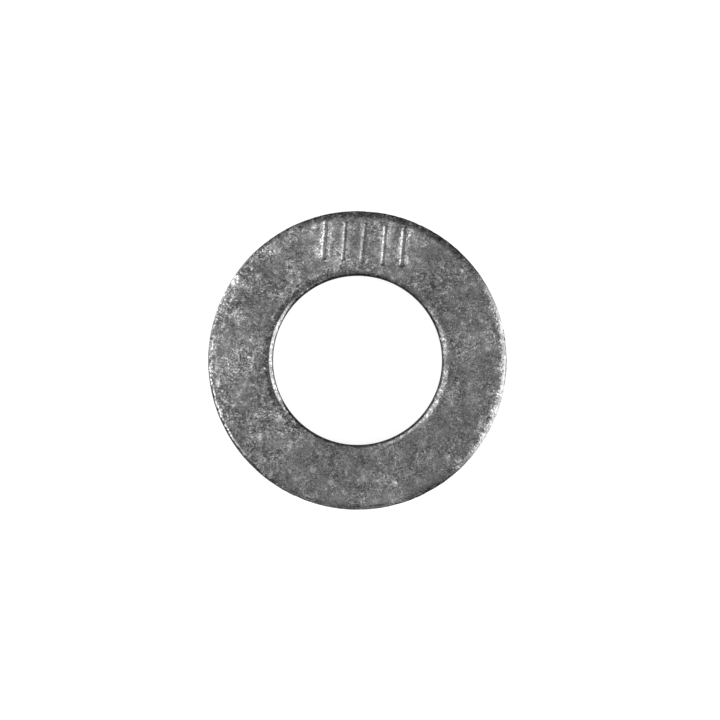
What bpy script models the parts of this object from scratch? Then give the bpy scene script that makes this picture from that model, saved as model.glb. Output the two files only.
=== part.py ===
"""A plain round washer for a 20 mm structural bolt, punched from steel plate in one stroke.

The stroke leaves its mark on the section. The upper face, where the tool bites, rolls over
softly at the rim and at the bore. Below each roll the wall is sheared smooth and upright,
and below that the metal tears away from the tool, so the rim draws in and the bore opens
out by the gap between punch and die. The lower face ends in small tumbled corners.

The washer lies flat. Its lower face is on z = 0 and the bore is on the Z axis.
"""

import math

import bmesh
import bpy

# Driving sizes, in metres
OUTER_DIAMETER = 0.0370
BORE_DIAMETER = 0.0210
THICKNESS = 0.0040

# The roll-over at the upper face, across the face and down the wall
RIM_ROLL_WIDTH = 0.00085
RIM_ROLL_DEPTH = 0.00055
BORE_ROLL_WIDTH = 0.00052
BORE_ROLL_DEPTH = 0.00040

# The walls under the rolls
SHEARED_BAND_HEIGHT = 0.0013
RIM_TEAR_SETBACK = 0.00016
BORE_TEAR_SETBACK = 0.00012
LOWER_CORNER_RADIUS = 0.00020

# How finely the curves are cut
STEPS_AROUND = 128
RIM_ROLL_STEPS = 7
BORE_ROLL_STEPS = 5
CORNER_STEPS = 3

# Dull grey steel, as linear values
STEEL_COLOUR = (0.20, 0.20, 0.20, 1.0)
STEEL_ROUGHNESS = 0.45
STEEL_METALLIC = 1.0

# Faces that meet at more than this keep a crisp edge between them
CRISP_EDGE_DEGREES = 35


def clear_scene():
    """Removes what the start-up file holds."""
    for obj in list(bpy.data.objects):
        bpy.data.objects.remove(obj, do_unlink=True)


def quarter_curve(centre, width, height, start, end, steps):
    """Points (radius, z) on an ellipse about centre, from angle start to angle end."""
    points = []
    for step in range(steps + 1):
        angle = start + (end - start) * step / steps
        radius = centre[0] + width * math.cos(angle)
        z = centre[1] + height * math.sin(angle)
        points.append((radius, z))
    return points


def rim_side(radius):
    """The outer half of the section, from the upper face down to the lower face."""
    roll_centre = (radius - RIM_ROLL_WIDTH, THICKNESS - RIM_ROLL_DEPTH)
    roll = quarter_curve(
        roll_centre, RIM_ROLL_WIDTH, RIM_ROLL_DEPTH, math.pi / 2, 0, RIM_ROLL_STEPS
    )
    sheared_to = (radius, THICKNESS - RIM_ROLL_DEPTH - SHEARED_BAND_HEIGHT)
    corner_centre = (radius - RIM_TEAR_SETBACK - LOWER_CORNER_RADIUS, LOWER_CORNER_RADIUS)
    corner = quarter_curve(
        corner_centre, LOWER_CORNER_RADIUS, LOWER_CORNER_RADIUS, 0, -math.pi / 2, CORNER_STEPS
    )
    return roll + [sheared_to] + corner


def bore_side(radius):
    """The inner half of the section, from the lower face up to the upper face."""
    corner_centre = (radius + BORE_TEAR_SETBACK + LOWER_CORNER_RADIUS, LOWER_CORNER_RADIUS)
    corner = quarter_curve(
        corner_centre,
        LOWER_CORNER_RADIUS,
        LOWER_CORNER_RADIUS,
        -math.pi / 2,
        -math.pi,
        CORNER_STEPS,
    )
    sheared_from = (radius, THICKNESS - BORE_ROLL_DEPTH - SHEARED_BAND_HEIGHT)
    roll_centre = (radius + BORE_ROLL_WIDTH, THICKNESS - BORE_ROLL_DEPTH)
    roll = quarter_curve(
        roll_centre, BORE_ROLL_WIDTH, BORE_ROLL_DEPTH, math.pi, math.pi / 2, BORE_ROLL_STEPS
    )
    return corner + [sheared_from] + roll


def washer_section():
    """The closed outline of the cut washer, as (radius, z), clockwise seen along +Y."""
    return rim_side(OUTER_DIAMETER / 2) + bore_side(BORE_DIAMETER / 2)


def turned_mesh(name, outline):
    """A full turn of a closed outline about the Z axis, as one closed mesh."""
    bm = bmesh.new()
    verts = [bm.verts.new((radius, 0, z)) for radius, z in outline]
    edges = [bm.edges.new((verts[i - 1], verts[i])) for i in range(len(verts))]
    bmesh.ops.spin(
        bm,
        geom=verts + edges,
        axis=(0, 0, 1),
        cent=(0, 0, 0),
        angle=2 * math.pi,
        steps=STEPS_AROUND,
        use_merge=True,
    )
    bmesh.ops.recalc_face_normals(bm, faces=bm.faces)
    mesh = bpy.data.meshes.new(name)
    bm.to_mesh(mesh)
    bm.free()
    return mesh


def steel_material():
    """Dull grey metal, the same all over."""
    material = bpy.data.materials.new("dull_steel")
    material.use_nodes = True
    shader = material.node_tree.nodes["Principled BSDF"]
    shader.inputs["Base Color"].default_value = STEEL_COLOUR
    shader.inputs["Roughness"].default_value = STEEL_ROUGHNESS
    shader.inputs["Metallic"].default_value = STEEL_METALLIC
    return material


def make_washer():
    """The washer, one turned solid, shaded smooth along its rolls and crisp at its corners."""
    mesh = turned_mesh("washer", washer_section())
    mesh.materials.append(steel_material())
    mesh.shade_smooth()
    mesh.set_sharp_from_angle(angle=math.radians(CRISP_EDGE_DEGREES))
    washer = bpy.data.objects.new("washer", mesh)
    bpy.context.scene.collection.objects.link(washer)
    return washer


clear_scene()
make_washer()
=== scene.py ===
# %% [markdown]
# A washer for a 20 mm structural bolt is a ring that a press punches from steel plate in one
# stroke. It could be drawn as a tube with a hole, but a punched ring is never that sharp: the
# press rolls its upper edges over, shears its walls and stamps a mark into its face. So the ring
# here is one piece, turned from a section that has those edges, then struck, knocked and rubbed.

import math
import random

import bmesh
import bpy
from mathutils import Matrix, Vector


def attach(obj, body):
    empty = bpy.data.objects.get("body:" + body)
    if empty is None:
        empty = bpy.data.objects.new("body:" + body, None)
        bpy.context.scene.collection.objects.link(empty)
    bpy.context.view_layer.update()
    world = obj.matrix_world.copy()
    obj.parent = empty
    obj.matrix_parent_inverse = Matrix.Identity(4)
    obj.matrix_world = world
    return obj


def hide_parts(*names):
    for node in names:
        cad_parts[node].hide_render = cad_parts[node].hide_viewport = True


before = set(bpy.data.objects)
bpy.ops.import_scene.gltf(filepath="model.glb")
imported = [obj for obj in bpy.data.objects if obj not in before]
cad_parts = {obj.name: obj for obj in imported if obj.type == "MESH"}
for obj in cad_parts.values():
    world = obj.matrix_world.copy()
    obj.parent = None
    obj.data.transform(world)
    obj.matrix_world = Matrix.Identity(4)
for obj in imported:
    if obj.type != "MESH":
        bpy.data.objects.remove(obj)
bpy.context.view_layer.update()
bpy.ops.object.select_all(action="DESELECT")

# %% [markdown]
# The looks have to fit the working solid, so its sizes are measured and not typed again. The
# solid is a turned ring, so every corner of it is just a radius and a height. The corners on the
# top, on the rim and in the bore tell where the flat face ends and where each wall begins.

# %% Measure the section
MM = 0.001
TINY = 0.002 * MM

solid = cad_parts["washer"]
corners = {(vertex.co.xy.length, vertex.co.z) for vertex in solid.data.vertices}


def reach(wanted):
    """The lowest and highest radius, and the lowest and highest z, of corners that pass a test."""
    radii, heights = zip(*[corner for corner in corners if wanted(*corner)])
    return min(radii), max(radii), min(heights), max(heights)


bore_radius, outer_radius, _, thickness = reach(lambda radius, z: True)
face_inner, face_outer, _, _ = reach(lambda radius, z: z > thickness - TINY)
under_inner, under_outer, _, _ = reach(lambda radius, z: z < TINY)
_, _, rim_break, rim_top = reach(lambda radius, z: radius > outer_radius - TINY)
_, _, bore_break, bore_top = reach(lambda radius, z: radius < bore_radius + TINY)
bore_foot, rim_foot, _, _ = reach(lambda radius, z: z < min(rim_break, bore_break) - TINY)
wall_middle = (bore_radius + outer_radius) / 2
print(f"ring {bore_radius / MM:.2f} to {outer_radius / MM:.2f} mm, {thickness / MM:.2f} mm thick")
print(f"flat face {face_inner / MM:.2f} to {face_outer / MM:.2f} mm")
print(f"walls shear down to {rim_break / MM:.2f} mm at the rim, {bore_break / MM:.2f} in the bore")

# %% [markdown]
# The camera looks straight down, as over a copy stand. A long lens from a quarter of a metre
# keeps the ring's outline round, and it still shows a hair's breadth of the bore's wall, as a
# real lens does and a flat, orthographic view doesn't. The ring sits a little left of the middle.

# %% Camera over the ring
CAMERA_HEIGHT = 250 * MM
PICTURE_WIDTH = 89.0 * MM
CAMERA_OFF_AXIS = (0.31 * MM, 0.05 * MM)

camera_data = bpy.data.cameras.new("copy_stand_camera")
camera_data.lens = camera_data.sensor_width * CAMERA_HEIGHT / PICTURE_WIDTH
camera_data.clip_start = 10 * MM
camera = bpy.data.objects.new("copy_stand_camera", camera_data)
camera.location = (*CAMERA_OFF_AXIS, thickness + CAMERA_HEIGHT)
bpy.context.scene.collection.objects.link(camera)
bpy.context.scene.camera = camera
print(f"lens {camera_data.lens:.0f} mm")

# %% [markdown]
# Modelling by hand means: select some corners, then push them. Two short helpers do the
# selecting, by a test on each corner's place, so that every later step says what it picks.

# %% Helpers that pick corners
def pick(piece, wanted):
    """In edit mode, selects the vertices whose place passes the test, and returns how many."""
    bpy.ops.mesh.select_all(action="DESELECT")
    mesh = bmesh.from_edit_mesh(piece.data)
    found = [vertex for vertex in mesh.verts if wanted(vertex.co)]
    for vertex in found:
        vertex.select_set(True)
    mesh.select_flush(True)
    bmesh.update_edit_mesh(piece.data)
    return len(found)


def at(*places):
    """A test for vertices at any of some (radius, z) places of the section."""
    return lambda co: any(math.hypot(co.x - radius, co.z - z) < TINY for radius, z in places)


print("helpers ready: pick and at")

# %% [markdown]
# The ring starts as its own section: a plane as wide as the ring's wall, stood on edge beside
# the axis. A drawn curve would do as well, but a plane has just the four corners that the press
# treats differently, so each one can be given its own rounding.

# %% Stand the section beside the axis
bpy.ops.mesh.primitive_plane_add(
    size=thickness, location=(wall_middle, 0, thickness / 2), rotation=(math.pi / 2, 0, 0)
)
ring = bpy.context.object
ring.name = "punched_ring"
bpy.ops.object.transform_apply(location=True, rotation=True, scale=True)
bpy.ops.object.mode_set(mode="EDIT")
bpy.ops.mesh.select_mode(type="VERT")
bpy.ops.mesh.select_all(action="SELECT")
bpy.ops.transform.resize(
    value=((outer_radius - bore_radius) / thickness, 1, 1),
    center_override=(wall_middle, 0, thickness / 2),
)
for vertex in bmesh.from_edit_mesh(ring.data).verts:
    print(f"section corner at radius {vertex.co.x / MM:.2f}, height {vertex.co.z / MM:.2f} mm")

# %% [markdown]
# Where the punch enters, the steel bends before it cuts, so both upper edges roll over, further
# across the face than down the wall. A bevel alone gives a round of equal sides. So the section
# is first stretched upwards, bevelled, and then squeezed back to its real height.

# %% Roll the upper edges over, and tumble the lower ones
RIM_ROLL_STEPS = 14
BORE_ROLL_STEPS = 10
LOWER_CORNER_STEPS = 4


def round_corner(piece, corner, width, depth, steps):
    """Rounds one corner of the section, width across the face and depth down the wall."""
    stretch = width / depth
    pivot = (corner[0], 0, corner[1])
    bpy.ops.mesh.select_all(action="SELECT")
    bpy.ops.transform.resize(value=(1, 1, stretch), center_override=pivot)
    pick(piece, at(corner))
    bpy.ops.mesh.bevel(offset=width, segments=steps, affect="VERTICES")
    bpy.ops.mesh.select_all(action="SELECT")
    bpy.ops.transform.resize(value=(1, 1, 1 / stretch), center_override=pivot)


rim_roll_width = outer_radius - face_outer
bore_roll_width = face_inner - bore_radius
lower_corner = rim_foot - under_outer
round_corner(
    ring, (outer_radius, thickness), rim_roll_width, thickness - rim_top, RIM_ROLL_STEPS
)
round_corner(
    ring, (bore_radius, thickness), bore_roll_width, thickness - bore_top, BORE_ROLL_STEPS
)
round_corner(ring, (outer_radius, 0), lower_corner, lower_corner, LOWER_CORNER_STEPS)
round_corner(ring, (bore_radius, 0), lower_corner, lower_corner, LOWER_CORNER_STEPS)
print("section points:", len(bmesh.from_edit_mesh(ring.data).verts))

# %% [markdown]
# Below its roll each wall has two bands. The upper one is sheared, so it is upright and smooth.
# The lower one is torn, and it slants by the gap between the punch and its die: the rim draws
# in and the bore opens out. One more corner on each wall, and a push at its foot, make both.

# %% Give each wall its sheared and its torn band
def break_wall(piece, radius, wall_top, break_at, foot_radius):
    """Splits the wall at radius where it starts to tear, and moves its foot to foot_radius."""
    middle = (wall_top + lower_corner) / 2
    pick(piece, at((radius, wall_top), (radius, lower_corner)))
    bpy.ops.mesh.subdivide(number_cuts=1)
    pick(piece, at((radius, middle)))
    bpy.ops.transform.translate(value=(0, 0, break_at - middle))
    pick(piece, lambda co: co.z < lower_corner + TINY and abs(co.x - radius) < lower_corner + TINY)
    bpy.ops.transform.translate(value=(foot_radius - radius, 0, 0))


break_wall(ring, outer_radius, rim_top, rim_break, rim_foot)
break_wall(ring, bore_radius, bore_top, bore_break, bore_foot)
print(f"the rim draws in by {(outer_radius - rim_foot) / MM:.2f} mm")
print(f"the bore opens by {(bore_foot - bore_radius) / MM:.2f} mm")

# %% [markdown]
# To turn the section, its outline is enough, so the face goes and its border stays. The straight
# stretches are then cut into short steps. The final mesh needs corners a tenth or two of a
# millimetre apart wherever the steel is dented, and a long edge has nothing there to move.

# %% Cut the outline into short steps
FACE_STEPS = 42
SHEARED_STEPS = 5
TORN_STEPS = 7
UNDERSIDE_STEPS = 12

bpy.ops.mesh.select_all(action="SELECT")
bpy.ops.mesh.delete(type="ONLY_FACE")
for start, end, steps in (
    ((face_inner, thickness), (face_outer, thickness), FACE_STEPS),
    ((outer_radius, rim_top), (outer_radius, rim_break), SHEARED_STEPS),
    ((outer_radius, rim_break), (rim_foot, lower_corner), TORN_STEPS),
    ((bore_radius, bore_top), (bore_radius, bore_break), SHEARED_STEPS),
    ((bore_radius, bore_break), (bore_foot, lower_corner), TORN_STEPS),
    ((under_inner, 0), (under_outer, 0), UNDERSIDE_STEPS),
):
    pick(ring, at(start, end))
    bpy.ops.mesh.subdivide(number_cuts=steps - 1)
print("outline points:", len(bmesh.from_edit_mesh(ring.data).verts))

# %% [markdown]
# A full turn about the Z axis makes the ring. The Spin tool can do it, but it slows down with
# every copy that it adds. The Screw modifier, with no pitch, does the same turn at once, and it
# merges the last copy with the first, which closes the seam. Then the faces are made to point out.

# %% Turn the outline into a ring
STEPS_AROUND = 700

bpy.ops.object.mode_set(mode="OBJECT")
lathe = ring.modifiers.new("lathe", "SCREW")
lathe.axis = "Z"
lathe.angle = 2 * math.pi
lathe.screw_offset = 0
lathe.steps = STEPS_AROUND
lathe.render_steps = STEPS_AROUND
lathe.use_merge_vertices = True
lathe.merge_threshold = TINY
bpy.ops.object.modifier_apply(modifier="lathe")
bpy.ops.object.mode_set(mode="EDIT")
bpy.ops.mesh.select_all(action="SELECT")
bpy.ops.mesh.normals_make_consistent(inside=False)
print("ring faces:", len(bmesh.from_edit_mesh(ring.data).faces))

# %% [markdown]
# A punch and its die never line up quite, so a roll is wider on one side: both of these are on
# the right. The bore's is a little wider left and right than front and back too. Proportional
# editing does it: the flat face's border slides, and the roll follows less and less to the wall.

# %% Shift the flat face over its rolls
RIM_SHIFT = (-0.23 * MM, -0.08 * MM, 0)
BORE_SHIFT = (0.17 * MM, 0, 0)
BORE_STRETCH = (1.010, 0.990, 1)
BORDER_WIDTH = 0.25 * MM
ROLL_SHARE_THAT_FOLLOWS = 0.85


def radius_of(co):
    return math.hypot(co.x, co.y)


def following(roll_width):
    """Settings with which the roll beside a moved border follows it less and less."""
    return {
        "use_proportional_edit": True,
        "proportional_edit_falloff": "SMOOTH",
        "proportional_size": roll_width * ROLL_SHARE_THAT_FOLLOWS,
    }


def on_face(co):
    return co.z > thickness - TINY


at_rim = pick(ring, lambda co: on_face(co) and radius_of(co) > face_outer - BORDER_WIDTH)
bpy.ops.transform.translate(value=RIM_SHIFT, **following(rim_roll_width))
at_bore = pick(ring, lambda co: on_face(co) and radius_of(co) < face_inner + BORDER_WIDTH)
bpy.ops.transform.resize(
    value=BORE_STRETCH, center_override=(0, 0, thickness), **following(bore_roll_width)
)
bpy.ops.transform.translate(value=BORE_SHIFT, **following(bore_roll_width))
print("corners shifted:", at_rim, "at the rim and", at_bore, "at the bore")

# %% [markdown]
# Washers are struck with a mark after they are punched. This one has a plain row of five bars, as
# a tally punch leaves, with a slight tilt, and each bar is a little off, as handwork is. Evenly
# set bars would look printed. A seeded random draw gives every run the same small slips.

# %% Place the five bars
MARK_CENTRE = Vector((0.85, 14.45)) * MM
MARK_TILT = math.radians(-5)
BAR_COUNT = 5
BAR_PITCH = 2.45 * MM
BAR_LENGTH = 4.2 * MM
BAR_DEPTHS = (0.18 * MM, 0.16 * MM, 0.19 * MM, 0.16 * MM, 0.15 * MM)
BAR_FLOORS = (0.46 * MM, 0.32 * MM, 0.40 * MM, 0.34 * MM, 0.44 * MM)
HAND_SLIP = 0.09 * MM
HAND_TURN = math.radians(0.9)

hand = random.Random(5)
bars = []
for number in range(BAR_COUNT):
    turn = MARK_TILT + hand.uniform(-HAND_TURN, HAND_TURN)
    across = Vector((math.cos(MARK_TILT), math.sin(MARK_TILT)))
    slip = Vector((hand.uniform(-HAND_SLIP, HAND_SLIP), hand.uniform(-HAND_SLIP, HAND_SLIP)))
    centre = MARK_CENTRE + across * BAR_PITCH * (number - (BAR_COUNT - 1) / 2) + slip
    along = Vector((-math.sin(turn), math.cos(turn)))
    bars.append((centre, along, BAR_DEPTHS[number], BAR_FLOORS[number]))
print("bars at", [tuple(round(x / MM, 2) for x in bar[0]) for bar in bars])

# %% [markdown]
# A Boolean could cut the bars, but a punch cuts nothing: it pushes the steel down, and a lip
# swells up around it. So the corners there are first made twice as close, then raised, and then
# pressed bar by bar. The falloff of each push is what gives a groove its sloping walls.

# %% Strike the bars
GROOVE_WALL_WIDTH = 0.32 * MM
LIP_HEIGHT = 0.03 * MM
LIP_WIDTH = 0.40 * MM
FINER_MESH_WIDTH = 1.0 * MM


def bar_offset(co, bar):
    """How far a point lies outside the floor of one bar's groove. It is below 0 inside."""
    centre, along, _, floor_width = bar
    away = co.xy - centre
    past_end = max(0, abs(away.dot(along)) - BAR_LENGTH / 2)
    beside = away.dot(Vector((along.y, -along.x)))
    return math.hypot(beside, past_end) - floor_width / 2


def around_bars(width, chosen=bars):
    """A test for corners of the upper face no further than width from any chosen bar."""

    def wanted(co):
        if co.z < rim_top or co.y < 0 or abs(co.x - MARK_CENTRE.x) > BAR_COUNT * BAR_PITCH:
            return False
        return min(bar_offset(co, bar) for bar in chosen) < width

    return wanted


def push(height, falloff_width, falloff):
    """Moves the picked corners up or down, and those around them less and less."""
    bpy.ops.transform.translate(
        value=(0, 0, height),
        use_proportional_edit=True,
        proportional_edit_falloff=falloff,
        proportional_size=falloff_width,
    )


pick(ring, around_bars(FINER_MESH_WIDTH))
bpy.ops.mesh.subdivide(number_cuts=1)
pick(ring, around_bars(GROOVE_WALL_WIDTH))
push(LIP_HEIGHT, LIP_WIDTH, "SMOOTH")
for bar in bars:
    pressed = pick(ring, around_bars(0, [bar]))
    push(-bar[2] - LIP_HEIGHT, GROOVE_WALL_WIDTH, "LINEAR")
    print("corners pressed:", pressed)
bpy.ops.object.mode_set(mode="OBJECT")

# %% [markdown]
# A washer is tumbled loose with thousands of others, so its edges are never a clean curve: slow
# waves run along the rolls, and the struck mark is uneven too. The flat face stays flat. So each
# corner is given a weight first, which says how much it takes part in the waves.

# %% Weigh the corners
RIM_WAVE_REACH = 0.5 * MM
BORE_WAVE_REACH = 0.2 * MM
WALL_WAVE_FADE = 0.6 * MM


def edge_weight(co):
    """How much a corner belongs to the rolled edges: 0 on the flat face and the low walls."""
    radius = radius_of(co)
    on_rim = max(0, radius - face_outer + RIM_WAVE_REACH) / rim_roll_width
    on_bore = max(0, face_inner - radius + BORE_WAVE_REACH) / bore_roll_width
    height = max(0, min(1, (co.z - rim_break) / WALL_WAVE_FADE))
    return min(1, max(on_rim, on_bore)) * height


def mark_weight(co):
    """1 near the struck bars and 0 elsewhere."""
    return 1 if around_bars(GROOVE_WALL_WIDTH)(co) else 0


waving = sum(1 for vertex in ring.data.vertices if edge_weight(vertex.co) > 0)
print("corners on the rolled edges:", waving)

# %% [markdown]
# A Displace modifier makes the waves. A cloud texture drives it, and a vertex group holds the
# weights. A random jitter of single corners would look like noise, but clouds have a length. The
# level that stays put is a little over the clouds' middle, so the waves cut in more than they
# swell.

# %% Wave the rolled edges and the struck mark
EDGE_WAVE = 0.055 * MM
EDGE_WAVE_LENGTH = 0.7 * MM
MARK_RIPPLE = 0.02 * MM
MARK_RIPPLE_LENGTH = 0.3 * MM
LEVEL_THAT_STAYS = 0.55


def ripple(piece, name, weight_of, length, height):
    """Displaces the corners that weight_of picks with soft noise of a length and a height."""
    group = piece.vertex_groups.new(name=name)
    for vertex in piece.data.vertices:
        weight = weight_of(vertex.co)
        if weight > 0:
            group.add([vertex.index], weight, "REPLACE")
    clouds = bpy.data.textures.new(name, "CLOUDS")
    clouds.noise_scale = length
    clouds.noise_depth = 2
    waves = piece.modifiers.new(name, "DISPLACE")
    waves.texture = clouds
    waves.texture_coords = "LOCAL"
    waves.vertex_group = name
    waves.mid_level = LEVEL_THAT_STAYS
    waves.strength = height
    bpy.ops.object.modifier_apply(modifier=name)


ripple(ring, "rolled_edges", edge_weight, EDGE_WAVE_LENGTH, EDGE_WAVE)
ripple(ring, "struck_mark", mark_weight, MARK_RIPPLE_LENGTH, MARK_RIPPLE)
print("corners that moved:", sum(1 for vertex in ring.data.vertices if vertex.groups))

# %% [markdown]
# Knocks are shorter and deeper than waves, and they land where a ring sticks out: on the
# shoulders of its rolls, along the border of the wide roll on the right, and now and then on the
# open face. Three tests on a corner's place say where that is.

# %% Choose where knocks can land
RIM_SHOULDER = face_outer + 0.25 * MM
BORE_SHOULDER = face_inner - 0.15 * MM
SHOULDER_FOOT = rim_break + 0.3 * MM
RIGHT_SIDE_COSINE = 0.72
BORDER_REACH = 0.35 * MM
OPEN_FACE_START = face_inner + 0.3 * MM
OPEN_FACE_END = face_outer - 0.2 * MM
OPEN_FACE_HEIGHT = thickness - 0.05 * MM


def on_shoulder(co):
    """True on the upper part of both rolled edges, where most knocks land."""
    radius = radius_of(co)
    return (radius > RIM_SHOULDER or radius < BORE_SHOULDER) and co.z > SHOULDER_FOOT


def on_right_border(co):
    """True where the wide roll on the right meets the flat face."""
    radius = radius_of(co)
    return co.x > RIGHT_SIDE_COSINE * radius and abs(radius - face_outer) < BORDER_REACH


def on_open_face(co):
    """True on the flat face, clear of its borders and of the struck mark."""
    inside = OPEN_FACE_START < radius_of(co) < OPEN_FACE_END and co.z > OPEN_FACE_HEIGHT
    return inside and not around_bars(FINER_MESH_WIDTH)(co)


print(f"shoulders past {RIM_SHOULDER / MM:.2f} and under {BORE_SHOULDER / MM:.2f} mm")

# %% [markdown]
# Each knock starts at one corner, picked by a seeded random draw so that every run gives the
# same ring, and shrink_fatten pushes it in along its own normal. The corners around it follow,
# so a knock is a dimple and not a spike.

# %% Knock the edges and the face
KNOCKS = (
    # where, how many, how deep, how wide
    (on_shoulder, 60, 0.035 * MM, 0.26 * MM),
    (on_shoulder, 30, 0.060 * MM, 0.42 * MM),
    (on_shoulder, 10, 0.100 * MM, 0.70 * MM),
    (on_right_border, 40, 0.050 * MM, 0.38 * MM),
    (on_open_face, 70, 0.020 * MM, 0.30 * MM),
    (on_open_face, 12, 0.035 * MM, 0.50 * MM),
)

draw = random.Random(11)
bpy.ops.object.mode_set(mode="EDIT")
for where, count, depth, width in KNOCKS:
    bpy.ops.mesh.select_all(action="DESELECT")
    mesh = bmesh.from_edit_mesh(ring.data)
    places = [vertex for vertex in mesh.verts if vertex.co.z > rim_break and where(vertex.co)]
    for vertex in draw.sample(places, count):
        vertex.select_set(True)
    bmesh.update_edit_mesh(ring.data)
    bpy.ops.transform.shrink_fatten(
        value=-depth,
        use_proportional_edit=True,
        proportional_edit_falloff="SMOOTH",
        proportional_size=width,
    )
    print(f"{count} knocks {depth / MM:.3f} mm deep, from {len(places)} places")
bpy.ops.object.mode_set(mode="OBJECT")
bpy.ops.object.shade_smooth()
print("triangles:", sum(len(face.vertices) - 2 for face in ring.data.polygons))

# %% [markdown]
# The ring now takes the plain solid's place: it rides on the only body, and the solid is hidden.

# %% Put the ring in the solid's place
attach(ring, "root")
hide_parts("washer")
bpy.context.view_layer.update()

# %% [markdown]
# Shader maths is easier to read as plain maths. This class holds one output of a material's
# node tree. Adding, multiplying or comparing such outputs adds the Math nodes that do it, and
# any other node comes from one method. Joining nodes by hand would bury the idea in wiring.

# %% Write shader maths as expressions
class Signal:
    """One output in a node tree. Arithmetic on signals adds Math nodes."""

    def __init__(self, tree, socket=None):
        self.tree = tree
        self.socket = socket

    def node(self, kind, settings=None, inputs=None, output=0):
        """Adds a node: its settings first, then values or signals for its inputs."""
        made = self.tree.nodes.new(kind)
        for name, value in (settings or {}).items():
            setattr(made, name, value)
        for name, value in (inputs or {}).items():
            if isinstance(value, Signal):
                self.tree.links.new(value.socket, made.inputs[name])
            else:
                made.inputs[name].default_value = value
        return Signal(self.tree, made.outputs[output]) if made.outputs else None

    def maths(self, operation, *values):
        return self.node("ShaderNodeMath", {"operation": operation}, dict(enumerate(values)))

    def __add__(self, other):
        return self.maths("ADD", self, other)

    def __radd__(self, other):
        return self.maths("ADD", other, self)

    def __sub__(self, other):
        return self.maths("SUBTRACT", self, other)

    def __rsub__(self, other):
        return self.maths("SUBTRACT", other, self)

    def __mul__(self, other):
        return self.maths("MULTIPLY", self, other)

    def __rmul__(self, other):
        return self.maths("MULTIPLY", other, self)

    def __truediv__(self, other):
        return self.maths("DIVIDE", self, other)

    def __pow__(self, other):
        return self.maths("POWER", self, other)

    def __rpow__(self, other):
        return self.maths("POWER", other, self)

    def __abs__(self):
        return self.maths("ABSOLUTE", self)

    def axes(self):
        """The X, Y and Z of this vector, as three signals."""
        split = self.node("ShaderNodeSeparateXYZ", inputs={0: self})
        return [Signal(self.tree, output) for output in split.socket.node.outputs]

    def step(self, low, high):
        """Rises smoothly from 0 to 1 as this signal goes from low to high."""
        return self.node(
            "ShaderNodeMapRange",
            {"interpolation_type": "SMOOTHSTEP"},
            {"Value": self, "From Min": low, "From Max": high},
        )

    def band(self, start, full_from, full_to, end):
        """Rises from start to full_from, and falls again from full_to to end."""
        return self.step(start, full_from) * (1 - self.step(full_to, end))


print("signals ready")

# %% [markdown]
# The steel's pattern is solid, like the figure in a block of wood, so it needs no unwrapping: it
# reads each point's place on the ring, in millimetres. From the place come the radius and the
# side, and from the surface's own direction comes how steeply it falls away from the flat face.

# %% Find the place on the ring
steel = bpy.data.materials.new("dull_steel")
steel.use_nodes = True
steel.node_tree.nodes.clear()
bench = Signal(steel.node_tree)

object_place = bench.node("ShaderNodeTexCoord", output="Object")
place = bench.node("ShaderNodeMapping", inputs={"Vector": object_place, "Scale": (1 / MM,) * 3})
place_x, place_y, place_z = place.axes()
radius = (place_x * place_x + place_y * place_y) ** 0.5
rightward = place_x / radius
backward = place_y / radius
facing = bench.node("ShaderNodeTexCoord", output="Normal")
slant, _, upward = facing.axes()
print("place signals ready, in mm")

# %% [markdown]
# The struck mark needs its own shading, so the pattern has to know where it is. A box on the face
# holds all five bars, and height tells the rest: a groove lies under the face and its lip over it.

# %% Find the struck mark
MARK_HALF_WIDTH = 6.0
MARK_NEAR = 12.0
MARK_FAR = 17.0
MARK_FADE = 0.4
GROOVE_TOP_FADE = 0.06

face_height = round(thickness / MM, 3)
mark_side = abs(place_x - MARK_CENTRE.x / MM)
in_mark = 1 - mark_side.step(MARK_HALF_WIDTH, MARK_HALF_WIDTH + MARK_FADE)
in_mark *= place_y.step(MARK_NEAR - MARK_FADE, MARK_NEAR)
in_mark *= 1 - place_y.step(MARK_FAR, MARK_FAR + MARK_FADE)
in_groove = in_mark * (1 - place_z.step(face_height - GROOVE_TOP_FADE, face_height))
print("face at", face_height, "mm")

# %% [markdown]
# Under a lens the dull face is a crowd of grains, some dark with scale and some bare. Noise at
# several sizes gives grains, crumbs, smudges, clouds and patches, and where noise crosses zero it
# gives thin winding lines. They add up in stops, as on a camera: one stop up is twice as bright.
# A plain sum of greys would make the dark grains muddy. The ring's left side is the coarser one.

# %% Mottle the dull face
FACE_VALUE = 0.115
FINE_SIDE = 0.89
COARSE_SIDE_EXTRA = 0.24
GROOVE_SMOOTHING = 0.35


def noise(size, detail=1.0, distortion=0.0, source=place):
    """Soft noise between about -0.5 and 0.5, with grains of a size in millimetres."""
    grains = source.node(
        "ShaderNodeTexNoise",
        inputs={"Vector": source, "Scale": 1 / size, "Detail": detail, "Distortion": distortion},
    )
    return grains - 0.5


grain = noise(0.20, 2.0)
crumb = noise(0.42, 1.5, 0.8)
curl = 1 - abs(noise(0.70, 1.0, 1.6)).step(0.0, 0.07)
pit = 1 - abs(noise(0.90, 1.0, 1.2)).step(0.0, 0.06)
smudge = noise(1.5, 1.5, 0.6).step(0.06, 0.22)
cloud = noise(1.5, 3.0, 0.5)
patch = noise(6.0, 2.0)

roughened = 0.6 + noise(2.6, 2.0).step(-0.15, 0.15) * 0.8
coarse_side = (backward * 0.26 - rightward * 0.97).step(0.15, 0.75)
coarseness = FINE_SIDE + coarse_side * COARSE_SIDE_EXTRA
mottle = grain * 2.9 + crumb * 3.0 + curl * 0.45 - pit * 0.55
mottle *= roughened * (1 - in_groove * GROOVE_SMOOTHING) * coarseness
stops = mottle + (smudge * 0.45 + cloud * 1.3) * coarseness
stops += patch * 2.0 + (backward * 0.5 - rightward) * 0.18
print("steel nodes:", len(steel.node_tree.nodes))

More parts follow.
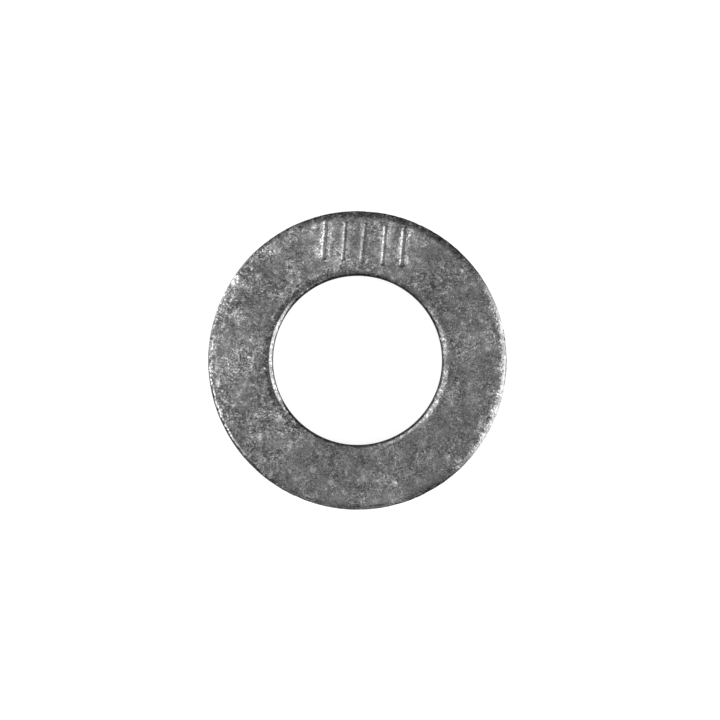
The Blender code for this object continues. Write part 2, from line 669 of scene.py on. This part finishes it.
# %% [markdown]
# On that ground lie the marks of its journey. Bright specks are where a neighbour's corner has
# hit. Scratches are noise that was squeezed along one direction, so that its grains stretch into
# short lines: a high threshold keeps only the few strongest of them.

# %% Add specks and scratches
SCRATCH_ANGLES = (25, 68, 140)
SCRATCH_STRETCH = 0.1


def scratches(angle):
    """Short lines of bare metal that run at an angle, in degrees, across the face."""
    squeezed = place.node(
        "ShaderNodeMapping",
        {"vector_type": "TEXTURE"},
        {
            "Vector": place,
            "Rotation": (0, 0, math.radians(angle)),
            "Scale": (1 / SCRATCH_STRETCH, 1, 1),
        },
    )
    return noise(0.2, 1.0, 0.0, squeezed).step(0.24, 0.32)


speck = noise(0.55, 2.0, 0.6).step(0.19, 0.25)
dot = noise(0.3, 0.0).step(0.27, 0.33)
lines = sum((scratches(angle) for angle in SCRATCH_ANGLES[1:]), scratches(SCRATCH_ANGLES[0]))
stops += speck * (0.7 + coarse_side * 0.5) + dot * 0.8 + lines * 0.7
print("steel nodes:", len(steel.node_tree.nodes))

# %% [markdown]
# Wear, grime and the painted highlights and shade are told apart by place. Two helpers give a
# side of the ring, by its azimuth, and a zone past a radius on that side. Noise is added to each
# place first, so that no border is a clean line. A mask painted by hand would do too, but it
# would need unwrapping and an image.

# %% Helpers for sides and zones
RAGGED_DEGREES = 10

ragged = crumb * 1.2 + grain * 0.8 + noise(0.8, 2.0, 0.5) * 0.8
high_spot = (crumb + curl * 0.2).step(0.0, 0.25)


def side(azimuth, half_angle, softness):
    """1 within half_angle of an azimuth, seen from the axis, and 0 elsewhere. All in degrees."""
    turn = math.radians(azimuth)
    towards = place_x * math.cos(turn) + place_y * math.sin(turn)
    beside = place_y * math.cos(turn) - place_x * math.sin(turn)
    angle = abs(bench.maths("ARCTAN2", beside, towards)) * math.degrees(1)
    angle += ragged * RAGGED_DEGREES
    return 1 - angle.step(half_angle - softness / 2, half_angle + softness / 2)


def zone(start, full, azimuth, half_angle, softness, raggedness=0.5):
    """Rises between two radii, in mm, on one side of the ring, and is 0 on the others."""
    return (radius + ragged * raggedness).step(start, full) * side(azimuth, half_angle, softness)


print("zones ready")

# %% [markdown]
# The rim has rubbed bare on the right, where its neighbours reached its wide roll, and it has
# worn to flecks on the left. The bare band on the right, the outer edge on the left and a bright
# line there are also painted highlight: they lie where the roll mirrors a softbox. Short dark
# dashes, partly scale and partly painted shade, are left in between.

# %% Rub the rim, and paint highlights on it
# Bare metal on the right, and painted highlight where the roll mirrors the right softbox.
bare_and_highlit_rim = zone(17.70, 18.00, -5, 37, 16, 0.8)
# Painted highlight on the outer edge at the left, where it mirrors the left softbox.
white_rim = zone(18.1, 18.35, 156, 16, 18, 0.5)
# A painted highlight line on the left rim.
left_line = (radius - place_y * 0.011).band(18.12, 18.20, 18.36, 18.44) * side(199, 20, 8)
left_flecks = zone(17.85, 18.0, 160, 36, 14, 0.3) * noise(0.4, 1.0, 0.5).step(0.04, 0.12)
left_rub = zone(16.4, 17.4, 158, 46, 30, 1.0)

broken = noise(0.6).step(0.0, 0.06)
# Dark dashes on the rim: partly scale, partly painted shade along the outline.
rim_dashes = radius.band(18.34, 18.38, 18.44, 18.48) * broken * side(0, 11, 6) * 3
rim_dashes += radius.band(17.98, 18.04, 18.12, 18.18) * broken * side(265, 26, 10)
rim_dashes += radius.band(18.04, 18.12, 18.22, 18.30) * broken * side(117, 12, 6)

stops += bare_and_highlit_rim * (1.3 + radius.step(18.05, 18.3) * 0.4 - mottle * 0.45)
stops += white_rim * 0.4
stops += left_line * (1.7 + broken * 0.8)
stops += left_flecks * 0.65 + left_rub * (0.1 + high_spot * 0.7)
print("steel nodes:", len(steel.node_tree.nodes))

# %% [markdown]
# In the bore it is the other way round: the roll is bare on the left, where a bolt has worn it,
# and on the right only its high spots are. Both bright bands are also painted highlight, where
# the roll mirrors a softbox, and they are painted wider and brighter than the lamps make them.

# %% Rub the bore, and paint highlights on it
# Bare metal, and painted highlight where the roll mirrors the right softbox.
bare_and_highlit_bore = zone(11.02, 10.90, 175, 36, 10, 0.15)
# Painted highlight, with bare high spots, where the roll mirrors the left softbox.
right_bore = zone(11.36, 11.20, -24, 21, 10, 0.8) * 1.8
right_bore += zone(11.20, 11.08, 20, 18, 10) * 1.3
right_bore += zone(11.10, 11.00, -59, 14, 8, 0.3) * 1.4
right_bore *= 0.75 + noise(0.45, 1.0, 0.5).step(-0.05, 0.15) * 0.6
right_bore *= radius.step(10.66, 10.84)

stops += bare_and_highlit_bore * (1.5 + side(206, 13, 16) * 0.5) + right_bore
print("steel nodes:", len(steel.node_tree.nodes))

# %% [markdown]
# The face is darker on the flat beside the bore on the left, and in a band just outside the
# bore's roll on the right. The rolls at the back and the front are darker too: partly grime,
# where nothing rubs, and partly painted shade, for the darkness that those rolls mirror.

# %% Darken beside the edges, with grime and painted shade
dark_beside_bore = zone(11.9, 11.25, 168, 64, 50, 0.9) * (1 - bare_and_highlit_bore)
dark_beside_bore *= 1 - side(118, 20, 20) * (1 - radius.step(10.75, 11.05))
halo = radius.band(11.35, 11.5, 11.7, 12.2) * side(0, 45, 20)
# Partly grime and partly painted shade on the back and front rolls.
far_grime_and_shade = zone(17.4, 18.0, 76, 38, 30)
far_bore = zone(11.2, 10.85, 76, 42, 30, 0.2)
near_grime_and_shade = zone(17.4, 18.0, -59, 10, 10) + zone(17.6, 18.1, -100, 26, 20) * 0.3

stops -= dark_beside_bore * (1.2 - (crumb + grain) * 1.3) + halo * 0.3
stops -= far_grime_and_shade * (1.3 - (crumb + grain) * 1.5) + far_bore * 0.8
stops -= near_grime_and_shade * 0.65
print("steel nodes:", len(steel.node_tree.nodes))

# %% [markdown]
# The face around the bars is rubbed. Their lips get a painted highlight, and each groove a
# painted highlight on the wall that faces right, a painted shadow where the other wall meets its
# floor, and a darker floor.

# %% Rub the struck mark, and paint light and shade on it
mark_rub = (1 - (mark_side + ragged * 2).step(5.5, 8.5)) * (place_y + ragged).step(11.5, 12.8)
# Painted highlight on the right-facing walls, and painted shadow at the other wall's foot.
painted_groove_shine = in_groove * slant.step(0.05, 0.35)
painted_groove_shadow = in_groove * slant.band(-0.42, -0.30, -0.15, -0.05)
dark_groove_floor = in_mark * (1 - place_z.step(face_height - 0.16, face_height - 0.10))
# Painted highlight on the lips.
painted_lip_shine = in_mark * place_z.step(face_height + 0.004, face_height + 0.024)

stops += mark_rub * (0.2 + high_spot * 0.3)
stops += painted_groove_shine * 0.9 - painted_groove_shadow * 0.9 - dark_groove_floor * 0.3 + painted_lip_shine * 0.5
print("steel nodes:", len(steel.node_tree.nodes))

# %% [markdown]
# A few marks are large enough to know this one washer by: pale rubs, nicks in a row, two or three
# scratches. Noise can't be told where to put them, so each is listed, as a small ellipse
# with a ragged border, given by its middle, half its width and height, its tilt and its stops.

# %% Place the marks that stand out
RUBS = (
    # x, y, half its width, half its height, tilt in degrees, stops
    (-13.4, 0.4, 0.28, 0.10, -15, 1.3),
    (-14.4, 1.3, 0.09, 0.40, -8, 0.9),
    (-14.5, 0.4, 0.09, 0.35, -4, -1.0),
    (-14.7, -1.2, 0.09, 0.30, -20, 1.0),
    (-13.8, -1.9, 0.08, 0.35, -30, 0.9),
    (-11.5, -1.0, 0.14, 0.14, 0, 1.8),
    (-11.9, 0.9, 0.12, 0.12, 0, 1.2),
    (-17.3, -2.8, 0.30, 0.50, 10, 1.2),
    (-16.1, 3.7, 0.30, 0.16, 35, 0.8),
    (-15.1, 5.8, 0.12, 0.45, -20, 0.9),
    (-12.9, -4.7, 0.55, 0.14, 12, 0.6),
    (-13.0, -3.0, 0.50, 0.12, 5, 0.5),
    (-12.0, -9.6, 0.35, 0.95, 5, 0.8),
    (-13.2, -7.8, 0.20, 0.20, 0, 0.8),
    (-11.9, -12.0, 0.20, 0.50, 0, 0.6),
    (-1.4, -13.9, 0.16, 0.38, 0, 0.8),
    (-1.3, -14.8, 0.50, 0.14, 0, 0.6),
    (0.1, -14.8, 0.16, 0.16, 0, 1.1),
    (2.5, -14.9, 0.28, 0.14, 0, 0.8),
    (4.7, -15.1, 0.28, 0.15, -25, 1.1),
    (2.3, -17.4, 0.38, 0.32, 0, 0.6),
    (10.3, 7.1, 0.15, 0.15, 0, 1.0),
    (11.3, 5.4, 0.55, 0.45, 0, 0.5),
    (14.6, 1.6, 0.42, 0.09, 35, 0.7),
    (15.1, 1.1, 0.09, 0.40, 20, 0.7),
    (-10.8, 13.3, 0.16, 0.42, 0, 0.8),
    (-12.3, 10.5, 0.38, 0.30, 0, 0.8),
    (-8.1, 9.9, 0.30, 0.45, 0, 0.6),
    (-2.7, 12.5, 0.50, 0.38, 30, 0.7),
    (-5.1, 13.5, 0.25, 1.00, 0, 0.6),
    (5.9, 16.3, 0.80, 0.55, 0, -0.5),
    (8.4, -7.2, 0.90, 0.25, 50, -0.3),
    (-9.0, -6.0, 0.20, 0.12, -54, 1.8),
    (-8.67, -6.3, 0.20, 0.11, -54, 2.0),
    (-7.95, -7.2, 0.50, 0.07, -48, 1.5),
)
THROUGH = 1000
RUB_GAIN = 1.4


def rub_at(x, y, half_width, half_height, tilt):
    """1 over a small ellipse of the face, with a ragged border, and 0 elsewhere."""
    near = place.node(
        "ShaderNodeMapping",
        {"vector_type": "TEXTURE"},
        {
            "Vector": place,
            "Location": (x, y, 0),
            "Rotation": (0, 0, math.radians(tilt)),
            "Scale": (half_width, half_height, THROUGH),
        },
    )
    away = near.node("ShaderNodeVectorMath", {"operation": "LENGTH"}, {0: near}, "Value")
    return 1 - (away + grain * 2.4 + crumb * 1.6).step(0.4, 1.4)


for *where, strength in RUBS:
    stops += rub_at(*where) * strength * RUB_GAIN
print("marks placed:", len(RUBS))

# %% [markdown]
# The walls were cut and not rolled, so they look different: a burnished band with upright
# streaks from the punch, and under it torn steel, rough and dark with scale. Wherever the steel
# turns steep it is also painted darker, as painted shade for the dark that steep metal mirrors.
# The streaks are the same noise, read from places that are squeezed along Z, so that each grain
# becomes a line.

# %% Streak the walls, and paint shade on them
TORN_TOP = 1.9
SHEARED_FOOT = 2.3
STREAK_SQUEEZE = 0.06

steep = 1 - upward.step(0.3, 0.75)
sheared = place_z.step(TORN_TOP, SHEARED_FOOT)
upright = place.node(
    "ShaderNodeMapping", inputs={"Vector": place, "Scale": (1, 1, STREAK_SQUEEZE)}
)
streak = noise(0.16, 2.0, 0.0, upright)
wall_stops = streak * 2.6 * sheared + (crumb + grain) * 1.5 * (1 - sheared)
# The steep walls are painted darker: partly scale, partly painted shade for the dark they mirror.
wall_stops += sheared * 0.4 + cloud * 1.2 - 1.4
tone = stops * (1 - steep) + wall_stops * steep
print("steel nodes:", len(steel.node_tree.nodes))

# %% [markdown]
# Where a roll turns down into its wall nothing rubs, and a dark line draws the ring's outline
# there and in the bore: partly scale, and partly painted shade for the dark that steep metal
# mirrors. It is gone where the roll is bare, and fainter where it is only worn; the bare, steep
# parts get a painted highlight instead. The dark dashes on the rim, partly scale and partly
# painted shade, come last, as they lie over the bare metal.

# %% Draw the dark outline, partly painted shade
upper_edge = place_z.step(2.7, 3.3)
bare_and_highlit_edge = bare_and_highlit_rim + white_rim
worn_bore = zone(11.2, 11.0, -12, 28, 30, 0.1)
worn_through = bare_and_highlit_edge + zone(11.2, 11.0, 180, 28, 10, 0.1) * 0.4
worn_through += worn_bore * 0.22 + side(265, 24, 20) * 0.15
# Painted shade, partly scale, along the steep outline of the rolls.
outline = 1 - (upward + worn_through + ragged * 0.3).step(0.62, 0.86)
# Painted shade, partly scale, as a dark line in the bore.
bore_line = (1 - (radius + ragged * 0.1).step(10.64, 10.78)) * (1 - bare_and_highlit_bore)
bore_line *= 1 - worn_bore * 0.7

# Painted highlight on the bare, steep rolls; painted shade along the outline and in the bore.
edge_stops = bare_and_highlit_edge * steep * 3.2 - outline * 2.6 - bore_line - rim_dashes
value = FACE_VALUE * 2 ** (tone + edge_stops * upper_edge)
print("steel nodes:", len(steel.node_tree.nodes))

# %% [markdown]
# Last come the shader's sockets. Bare grains are a little smoother than scale, and torn walls
# are hardly metal at all to the eye. A little bump lets the finest grains catch the light, as
# they are smaller than the mesh can hold.

# %% Finish the steel
RELIEF = 0.08 * MM

shoulder = (1 - upward.step(0.90, 0.99)) * (1 - steep)
colour = bench.node("ShaderNodeCombineXYZ", inputs={0: value, 1: value, 2: value})
roughness = 0.42 - shoulder * 0.08 - grain * 0.2 + steep * 0.2
metallic = 1 - steep * (1 - sheared) * 0.7
height = grain * 0.2 + crumb * 0.8 + curl * 0.12 - pit * 0.20 + cloud * 0.6 - lines * 0.1
height *= (1 + shoulder * 0.6) * (1 - in_groove * 0.5)
relief = bench.node(
    "ShaderNodeBump", inputs={"Height": height, "Distance": RELIEF, "Strength": 1.0}
)
surface = bench.node(
    "ShaderNodeBsdfPrincipled",
    inputs={
        "Base Color": colour, "Metallic": metallic, "Roughness": roughness, "Normal": relief
    },
)
bench.node("ShaderNodeOutputMaterial", inputs={"Surface": surface})
ring.data.materials.clear()
ring.data.materials.append(steel)
print("steel nodes:", len(steel.node_tree.nodes))

# %% [markdown]
# The ring lies on white, lit so that the white clips and only a faint shadow is left. The
# studio way is more light on the paper than on the object. Here the paper glows a little by
# itself, but only for rays that look at it, so the glow lights nothing and the shadow stays.

# %% Lay the white floor
FLOOR_SIZE = 3.0
PAPER_WHITE = 0.35
PAPER_GLOW = 0.78


def looked_at(tree_bench):
    """1 for rays from the camera, off shiny metal or through glass, and 0 for scattered light."""
    kinds = ("Is Camera Ray", "Is Glossy Ray", "Is Transmission Ray")
    camera_ray, glossy_ray, through_ray = (
        tree_bench.node("ShaderNodeLightPath", output=kind) for kind in kinds
    )
    return tree_bench.maths("MINIMUM", camera_ray + glossy_ray + through_ray, 1)


bpy.ops.mesh.primitive_plane_add(size=FLOOR_SIZE, location=(0, 0, 0))
floor = bpy.context.object
floor.name = "studio_floor"

paper = bpy.data.materials.new("white_paper")
paper.use_nodes = True
paper.node_tree.nodes.clear()
sheet = Signal(paper.node_tree)
matte = sheet.node("ShaderNodeBsdfDiffuse", inputs={"Color": (PAPER_WHITE,) * 3 + (1,)})
glow = sheet.node("ShaderNodeEmission", inputs={"Strength": looked_at(sheet) * PAPER_GLOW})
lit_paper = sheet.node("ShaderNodeAddShader", inputs={0: matte, 1: glow})
sheet.node("ShaderNodeOutputMaterial", inputs={"Surface": lit_paper})
floor.data.materials.append(paper)
print("floor of", FLOOR_SIZE, "m")

# %% [markdown]
# Above the floor the room is plain white. What the metal mirrors is full white, so its own grey
# is the grey that renders. The light that scatters is less, because the lamps add to it.

# %% Surround it with a white room
ROOM_FILL = 0.6

room = bpy.data.worlds.new("white_room")
bpy.context.scene.world = room
room.use_nodes = True
room.node_tree.nodes.clear()
walls = Signal(room.node_tree)
brightness = ROOM_FILL + looked_at(walls) * (1 - ROOM_FILL)
backdrop = walls.node(
    "ShaderNodeBackground", inputs={"Color": (1, 1, 1, 1), "Strength": brightness}
)
walls.node("ShaderNodeOutputWorld", inputs={"Surface": backdrop})
print("room fill", ROOM_FILL)

# %% [markdown]
# Rolled edges are tiny curved mirrors, and what they show is the lamps. Two tall softboxes stand
# left and right. Their size matters more than their power: a roll lights up wherever it mirrors
# a softbox, so a tall one makes a broad soft line, and a small lamp would make a hard glint.

# %% Stand two softboxes beside it
STUDIO_RADIUS = 0.42


def studio_place(azimuth, elevation, distance=STUDIO_RADIUS):
    """A point around the ring: azimuth 0 is to the right and 90 behind, both in degrees."""
    turn = math.radians(azimuth)
    lift = math.radians(elevation)
    flat = distance * math.cos(lift)
    return Vector((flat * math.cos(turn), flat * math.sin(turn), distance * math.sin(lift)))


def softbox(name, azimuth, elevation, width, height, radiance):
    """A rectangle lamp that faces the ring, which only the ring and the floor can see."""
    lamp = bpy.data.lights.new(name, "AREA")
    lamp.shape = "RECTANGLE"
    lamp.size = width
    lamp.size_y = height
    lamp.energy = radiance * math.pi * width * height
    box = bpy.data.objects.new(name, lamp)
    box.location = studio_place(azimuth, elevation)
    box.rotation_euler = (-box.location).to_track_quat("-Z", "Y").to_euler()
    box.visible_camera = False
    bpy.context.scene.collection.objects.link(box)
    print(f"{name}: {lamp.energy:.2f} W")


softbox("right_softbox", azimuth=-12, elevation=36, width=0.40, height=0.50, radiance=3.2)
softbox("left_softbox", azimuth=176, elevation=38, width=0.42, height=0.46, radiance=2.2)

# %% [markdown]
# A white room alone leaves the far and near rolls as bright as the face, and the ring looks flat.
# Photographers stand grey cards there for the metal to mirror. These show only in reflections,
# so they darken those rolls and take no light away from the floor.

# %% Stand two grey cards behind and in front
def grey_card(name, azimuth, elevation, width, height, grey):
    """A card that glows at one grey and is seen only in reflections."""
    bpy.ops.mesh.primitive_plane_add(size=1)
    card = bpy.context.object
    card.name = name
    card.scale = (width, height, 1)
    card.location = studio_place(azimuth, elevation)
    card.rotation_euler = (-card.location).to_track_quat("Z", "Y").to_euler()
    bpy.ops.object.transform_apply(location=True, rotation=True, scale=True)
    card.visible_camera = False
    card.visible_diffuse = False
    card.visible_shadow = False
    felt = bpy.data.materials.new(name)
    felt.use_nodes = True
    felt.node_tree.nodes.clear()
    cloth = Signal(felt.node_tree)
    shade = cloth.node("ShaderNodeEmission", inputs={"Strength": grey})
    cloth.node("ShaderNodeOutputMaterial", inputs={"Surface": shade})
    card.data.materials.append(felt)
    print(f"{name}: grey {grey}")


grey_card("back_card", azimuth=74, elevation=40, width=0.50, height=0.56, grey=0.60)
grey_card("front_card", azimuth=292, elevation=40, width=0.50, height=0.50, grey=0.60)
bpy.context.scene.view_settings.view_transform = "Standard"
